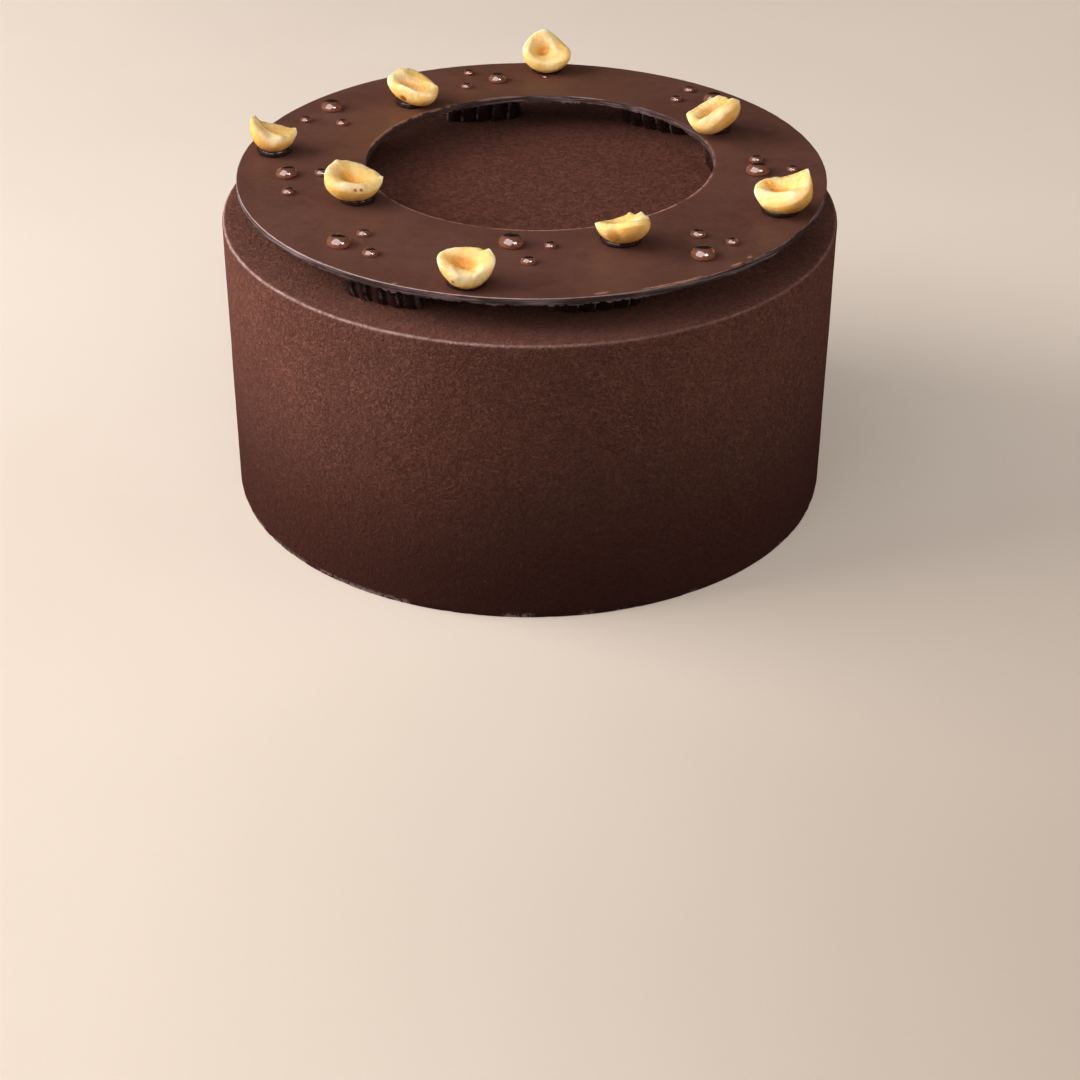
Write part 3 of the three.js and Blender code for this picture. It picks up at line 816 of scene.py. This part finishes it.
def add_rope(index, rope, material):
    draw = random.Random(SEED + index)
    shift = draw.uniform(-40, 40)
    angle = math.radians(rope["from"])
    turn = angle + math.pi / 2 + math.radians(rope["turned"])
    middle = Vector((rope["out"] * math.cos(angle), rope["out"] * math.sin(angle)))
    points, crest_highlight = [], []
    for i in range(1, ROPE_STEPS):
        along = i / ROPE_STEPS
        for j in range(ROPE_SIDES):
            around = 2 * math.pi * j / ROPE_SIDES
            bend = 0.030 * (1 - math.sin(around) ** 2) - 0.022 * math.sin(around)
            wobble = 0.012 * ripple(along * 9, shift, math.sin(around), 1.0)
            full = rope_fullness(along)
            lobe, crest = rope_lobe(min(0.999, max(0.001, along + bend * full + wobble)))
            swell = full * lobe
            rise = min(1.0, max(0.0, 0.5 + 0.66 * math.sin(around)))
            local_x = (0.5 - along) * ROPE_LENGTH
            local_y = ROPE_WIDTH / 2 * swell * math.cos(around)
            z = ROPE_HEIGHT * rise * min(1.0, swell * 1.15)
            lump = 0.12 * ripple(local_x + shift, local_y, z, 2.4)
            lump += 0.05 * ripple(local_x, z + shift, local_y, 0.8)
            local_y += lump * math.cos(around)
            x = middle.x + local_x * math.cos(turn) - local_y * math.sin(turn)
            y = middle.y + local_x * math.sin(turn) + local_y * math.cos(turn)
            points.append((x, y, CAKE_HEIGHT + z))
            # A painted highlight on each lobe's crest, broken by noise.
            crest_highlight.append(crest * smooth_step(-0.4, 0.1, ripple(along * 9, around * 2, shift, 1.0)))
    rows = ROPE_STEPS - 1
    faces = grid_faces(rows, ROPE_SIDES)
    ends = len(points)
    for end in (0.5, -0.5):
        local_x = end * (ROPE_LENGTH - 0.02)
        points.append((middle.x + local_x * math.cos(turn), middle.y + local_x * math.sin(turn),
                       CAKE_HEIGHT + ROPE_HEIGHT * 0.12))
        crest_highlight.append(0.0)
    last = (rows - 1) * ROPE_SIDES
    close_ends(faces, ROPE_SIDES, ends, ends + 1, last)
    name = f"piped_rope_{index + 1:02d}"
    piece = make_mesh(name, points, faces, {"crest_highlight": crest_highlight})
    finish_piece(piece, material, "piped_ganache", f"rope_{index + 1:02d}")


# ---- the nuts ------------------------------------------------------------------------------------

NUT_COLUMNS = 128
NUT_FACE_ROWS = 46
NUT_BACK_ROWS = 40
# How much further the rim is rolled over where it faces the front, how rough it is, how lumpy the back
# is, and how strong the painted highlight along the near rim is where a nut's own entry doesn't say.
NUT_NEAR_ROLL = 1.5
NUT_RIM_ROUGHNESS = 0.14
NUT_BACK_LUMPS = 0.05
NUT_NEAR_HIGHLIGHT = 0.3


def nut_rim(nut, around):
    three = 3 * (around - math.radians(nut["corners_at"]))
    reach = 1 + nut["corners"] * math.cos(three)
    lift = (nut["saddle"] * math.cos(2 * (around - math.radians(nut["saddle_at"])))
            + nut["tips"] * math.cos(3 * (around - math.radians(nut["tips_at"]))))
    x = nut["length"] / 2 * math.cos(around) * reach
    y = nut["width"] / 2 * math.sin(around) * reach
    return Vector((x, y, lift))


def nut_axes(nut):
    lean, to, turn = (math.radians(nut[key]) for key in ("lean", "to", "turned"))
    up = Vector((math.sin(lean) * math.cos(to), math.sin(lean) * math.sin(to), math.cos(lean)))
    flat = Vector((math.cos(turn), math.sin(turn), 0))
    along = (flat - flat.dot(up) * up).normalized()
    return along, up.cross(along), up


def groove_depth(nut, x, y):
    """How deep in the nut's groove a place of its cut face is, from 0 to 1."""
    groove = nut["groove"]
    turn = math.radians(groove["turned"])
    along = (x - groove["x"]) * math.cos(turn) + (y - groove["y"]) * math.sin(turn)
    across = (y - groove["y"]) * math.cos(turn) - (x - groove["x"]) * math.sin(turn)
    return math.exp(-(along / groove["length"]) ** 2 - (across / groove["width"]) ** 2)


def fold_height(nut, x, y):
    """The height of the soft folds that cross the cut face."""
    height = 0.0
    for start_x, start_y, end_x, end_y, width, rise in nut.get("folds", ()):
        length = math.hypot(end_x - start_x, end_y - start_y)
        unit_x, unit_y = (end_x - start_x) / length, (end_y - start_y) / length
        along = (x - start_x) * unit_x + (y - start_y) * unit_y
        across = (y - start_y) * unit_x - (x - start_x) * unit_y
        past = max(0.0, -along, along - length)
        height += rise * math.exp(-(across / width) ** 2 - (past / width) ** 2)
    return height


def rim_notch(nut, around):
    """How far the rim is broken down (or stands up, if less than 0) at an angle round it."""
    depth = 0.0
    for at, width, down in nut.get("notches", ()):
        gap = (math.degrees(around) - at + 180) % 360 - 180
        depth += down * math.exp(-(gap / width) ** 2)
    return depth


def spot_share(nut, place):
    share = 0.0
    for x, y, z, radius, strength in nut.get("spots", ()):
        away = (place - Vector((x, y, z))).length
        share = max(share, strength * smooth_step(radius * 1.25, radius * 0.5, away))
    return share


def add_nut(index, nut, material):
    draw = random.Random(SEED * 7 + index)
    shift = draw.uniform(-90, 90)
    along, across, up = nut_axes(nut)
    middle = Vector((nut["x"], nut["y"], RING_TOP + nut["up"]))
    points, hollow, toast, rim_highlight, cream, brown = [], [], [], [], [], []

    def place(local, values):
        points.append(tuple(middle + along * local.x + across * local.y + up * local.z))
        for layer, value in zip((hollow, toast, rim_highlight, cream), values):
            layer.append(value)
        brown.append(spot_share(nut, local))

    def nearness(x, y):
        """How squarely a side of the nut faces the front, from 0 to 1."""
        toward = along * x + across * y
        return max(0.0, -toward.y / max(toward.length, 1e-6))

    def rim_nick(rim, around):
        """How far the rim stands up at a place, less where it is broken down."""
        return NUT_RIM_ROUGHNESS * ripple(rim.x + shift, rim.y, 0, 1.7, 3) - rim_notch(nut, around)

    def face_point(x, y, rise, reach):
        dent = groove_depth(nut, x, y)
        near = nearness(x, y)
        inside = 1 - reach * reach
        z = rise * reach * reach - nut["dish"] * inside * inside - nut["groove"]["depth"] * dent * inside
        z += fold_height(nut, x, y) * smooth_step(1.02, 0.93, reach) - nut["roll"] * reach ** 8
        z -= NUT_NEAR_ROLL * near * reach ** 6
        z += 0.09 * ripple(x + shift, y, 0, 2.4, 3) * (1 - reach ** 4)
        z += 0.10 * ripple(x + shift, y, 5, 0.9, 2) * dent
        tone = max(smooth_step(0.10, 0.70, dent), 0.35 * smooth_step(0.8, 0.1, reach))
        # The rim mask is a painted highlight along the back of the rim.
        edge = smooth_step(0.88, 0.98, reach) * (1 - smooth_step(0.0, 0.4, near))
        # Painted highlights: cream on the folds and in a band along the near rim.
        fold_highlight = 0.8 * smooth_step(0.08, 0.40, fold_height(nut, x, y))
        near_highlight = smooth_step(0.45, 0.7, reach) * smooth_step(1.02, 0.88, reach)
        near_highlight *= nut.get("pale", NUT_NEAR_HIGHLIGHT) * near
        place(Vector((x, y, z)), (tone, 0.6 * near * smooth_step(0.85, 1.0, reach), edge, max(fold_highlight, near_highlight)))

    for i in range(1, NUT_FACE_ROWS + 1):
        reach = i / NUT_FACE_ROWS
        for j in range(NUT_COLUMNS):
            around = 2 * math.pi * j / NUT_COLUMNS
            rim = nut_rim(nut, around)
            nick = rim_nick(rim, around)
            face_point(rim.x * reach, rim.y * reach, rim.z + nick * reach ** 5, reach)
    for i in range(1, NUT_BACK_ROWS):
        sunk_angle = math.pi / 2 * i / NUT_BACK_ROWS
        reach, sunk = math.cos(sunk_angle), math.sin(sunk_angle)
        for j in range(NUT_COLUMNS):
            around = 2 * math.pi * j / NUT_COLUMNS
            rim = nut_rim(nut, around)
            nick = rim_nick(rim, around)
            lump = NUT_BACK_LUMPS * ripple(math.cos(around) * 3 + shift, math.sin(around) * 3, sunk, 1.0, 3)
            far = reach * (1 + lump * sunk)
            near = nearness(rim.x, rim.y)
            edge = rim.z - nut["roll"] - NUT_NEAR_ROLL * near
            local = Vector((rim.x * far, rim.y * far, edge * (1 - sunk) - nut["depth"] * sunk))
            local.z += nick * (1 - sunk) ** 3
            golden = 0.6 * near + (1 - 0.6 * near) * smooth_step(0.05, 0.7, sunk)
            # The back's rim mask is a painted highlight just under the back of the rim.
            place(local, (0.0, golden, smooth_step(0.10, 0.0, sunk) * (1 - smooth_step(0.0, 0.4, near)), 0.0))
    rows = NUT_FACE_ROWS + NUT_BACK_ROWS - 1
    faces = grid_faces(rows, NUT_COLUMNS, flip=True)
    face_middle = len(points)
    face_point(0.0, 0.0, 0.0, 0.0)
    pole = len(points)
    place(Vector((0, 0, -nut["depth"])), (0.0, 1.0, 0.0, 0.0))
    last = (rows - 1) * NUT_COLUMNS
    close_ends(faces, NUT_COLUMNS, face_middle, pole, last, flip=True)
    masks = {"hollow": hollow, "toast": toast, "rim": rim_highlight, "cream": cream, "brown": brown}
    piece = make_mesh(f"hazelnut_{index + 1:02d}", points, faces, masks)
    finish_piece(piece, material, "hazelnut", f"nut_{index + 1:02d}")


# ---- the dabs ------------------------------------------------------------------------------------

DAB_COLUMNS = 120
DAB_ROWS = 18
DAB_WAIST = 0.32
DAB_TUCK = 0.5


def add_dab(index, dab, material):
    draw = random.Random(SEED * 13 + index)
    shift = draw.uniform(-50, 50)
    points = []
    for i in range(DAB_ROWS):
        share = i / (DAB_ROWS - 1)
        angle = -DAB_TUCK + (math.pi / 2 + DAB_TUCK) * share
        reach = max(0.02, math.cos(angle)) ** 0.55
        if angle > 0:
            height = DAB_HEIGHT * (DAB_WAIST + (1 - DAB_WAIST) * math.sin(angle))
        else:
            height = DAB_HEIGHT * DAB_WAIST * (1 + angle / DAB_TUCK)
        for j in range(DAB_COLUMNS):
            around = 2 * math.pi * j / DAB_COLUMNS
            cos, sin = math.cos(around), math.sin(around)
            far = dab["radius"] * reach
            far += 0.16 * ripple(cos * 2 + shift, sin * 2, 0, 1.0, 2) * reach
            far += 0.09 * ripple(cos * 1.5, sin * 1.5 + shift, height * 3, 1.0, 2) * reach
            rise = height + 0.10 * ripple(cos * 3, sin * 3 + shift, height, 1.0) * share
            points.append((dab["x"] + far * cos, dab["y"] + far * sin, RING_TOP + rise))
    faces = grid_faces(DAB_ROWS, DAB_COLUMNS)
    top, foot = len(points), len(points) + 1
    points += [(dab["x"], dab["y"], RING_TOP + DAB_HEIGHT), (dab["x"], dab["y"], RING_TOP)]
    last = (DAB_ROWS - 1) * DAB_COLUMNS
    close_ends(faces, DAB_COLUMNS, foot, top, last)
    piece = make_mesh(f"ganache_dab_{index + 1:02d}", points, faces, {"crest_highlight": [0.0] * len(points)})
    finish_piece(piece, material, "piped_ganache", f"dab_{index + 1:02d}")


# ---- the stage -----------------------------------------------------------------------------------


def add_floor():
    half = 2500.0
    corners = [(-half, -half, 0), (half, -half, 0), (half, half, 0), (-half, half, 0)]
    floor = make_mesh("floor", corners, [(0, 1, 2, 3)], smooth=False)
    floor.data.materials.append(floor_finish())
    floor.visible_diffuse = False
    floor.visible_glossy = False


# The lamps: their name, degrees to the left of the cake's front, degrees up, distance, size, watts and
# colour. Those of the first list light the cake and those of the second are seen only as reflections.
LAMPS_AIM = Vector((0, 0, 0.06))
WARM_WHITE = (1.0, 0.98, 0.96)
LAMPS = [
    ("left", 88, 22, 1.1, 0.90, 22.0, WARM_WHITE),
    ("left_back", 115, 20, 1.1, 0.90, 1.5, WARM_WHITE),
    ("key", 47, 50, 0.55, 0.55, 0.8, WARM_WHITE),
    ("fill", 8, 34, 0.50, 0.50, 0.60, WARM_WHITE),
    ("right", -80, 14, 1.1, 0.90, 6.5, WARM_WHITE),
]
GLOSS_LAMPS = [
    ("window", 47, 57, 1.05, 1.38, 28.0, (1.0, 0.89, 0.91)),
    ("spark", -42, 50, 0.95, 0.42, 7.0, (1.0, 0.97, 0.95)),
]


def add_lamp(name, left, up, distance, size, power, colour, gloss):
    lamp = bpy.data.lights.new(name, "AREA")
    lamp.shape = "SQUARE"
    lamp.size = size
    lamp.energy = power
    lamp.color = colour
    holder = bpy.data.objects.new(name, lamp)
    place = lamp_place(left, up, distance)
    holder.location = place
    holder.rotation_euler = (LAMPS_AIM - place).to_track_quat("-Z", "Y").to_euler()
    holder.visible_diffuse = not gloss
    holder.visible_glossy = gloss
    holder.visible_transmission = gloss
    bpy.context.scene.collection.objects.link(holder)


def lamp_place(left, up, distance):
    """A place left degrees to the left of the cake's front and up degrees up from its middle."""
    across, rise = math.radians(left), math.radians(up)
    level = math.cos(rise)
    toward = Vector((-math.sin(across) * level, -math.cos(across) * level, math.sin(rise)))
    return toward * distance + LAMPS_AIM


def add_world():
    """Soft room light: brightest from the left, dim behind, and dark from below."""
    world = bpy.data.worlds.new("room")
    world.use_nodes = True
    bpy.context.scene.world = world
    nodes, links = world.node_tree.nodes, world.node_tree.links
    parts = nodes.new("ShaderNodeSeparateXYZ")
    links.new(nodes.new("ShaderNodeTexCoord").outputs["Generated"], parts.inputs[0])

    def ramp(axis, low, high, at_low, at_high):
        node = nodes.new("ShaderNodeMapRange")
        node.interpolation_type = "SMOOTHSTEP"
        links.new(parts.outputs[axis], node.inputs["Value"])
        for key, number in (("From Min", low), ("From Max", high), ("To Min", at_low), ("To Max", at_high)):
            node.inputs[key].default_value = number
        return node.outputs["Result"]

    strength = ramp("X", -1.0, 0.6, 0.19, 0.06)
    for share in (ramp("Y", -0.2, 0.9, 1.0, 0.5), ramp("Z", -0.12, 0.12, 0.05, 1.0)):
        node = nodes.new("ShaderNodeMath")
        node.operation = "MULTIPLY"
        links.new(strength, node.inputs[0])
        links.new(share, node.inputs[1])
        strength = node.outputs[0]
    background = nodes["Background"]
    background.inputs["Color"].default_value = (1.0, 0.95, 0.91, 1.0)
    links.new(strength, background.inputs["Strength"])


def add_stage():
    """A broad low light from the left, a near key and fills, and lights seen only as reflections."""
    add_floor()
    add_world()
    for lamp in LAMPS:
        add_lamp(*lamp, gloss=False)
    for lamp in GLOSS_LAMPS:
        add_lamp(*lamp, gloss=True)
    view = bpy.context.scene.view_settings
    view.view_transform = "Standard"
    view.look = "None"


# ---- everything ----------------------------------------------------------------------------------

add_camera()
add_stage()
add_drum(sprayed_chocolate())
add_ring(ring_chocolate())
add_drops(clear_glaze())
ganache = piped_ganache()
for number, rope in enumerate(ROPES):
    add_rope(number, rope, ganache)
kernel = hazelnut()
for number, nut in enumerate(NUTS):
    add_nut(number, nut, kernel)
for number, dab in enumerate(DABS):
    add_dab(number, dab, ganache)
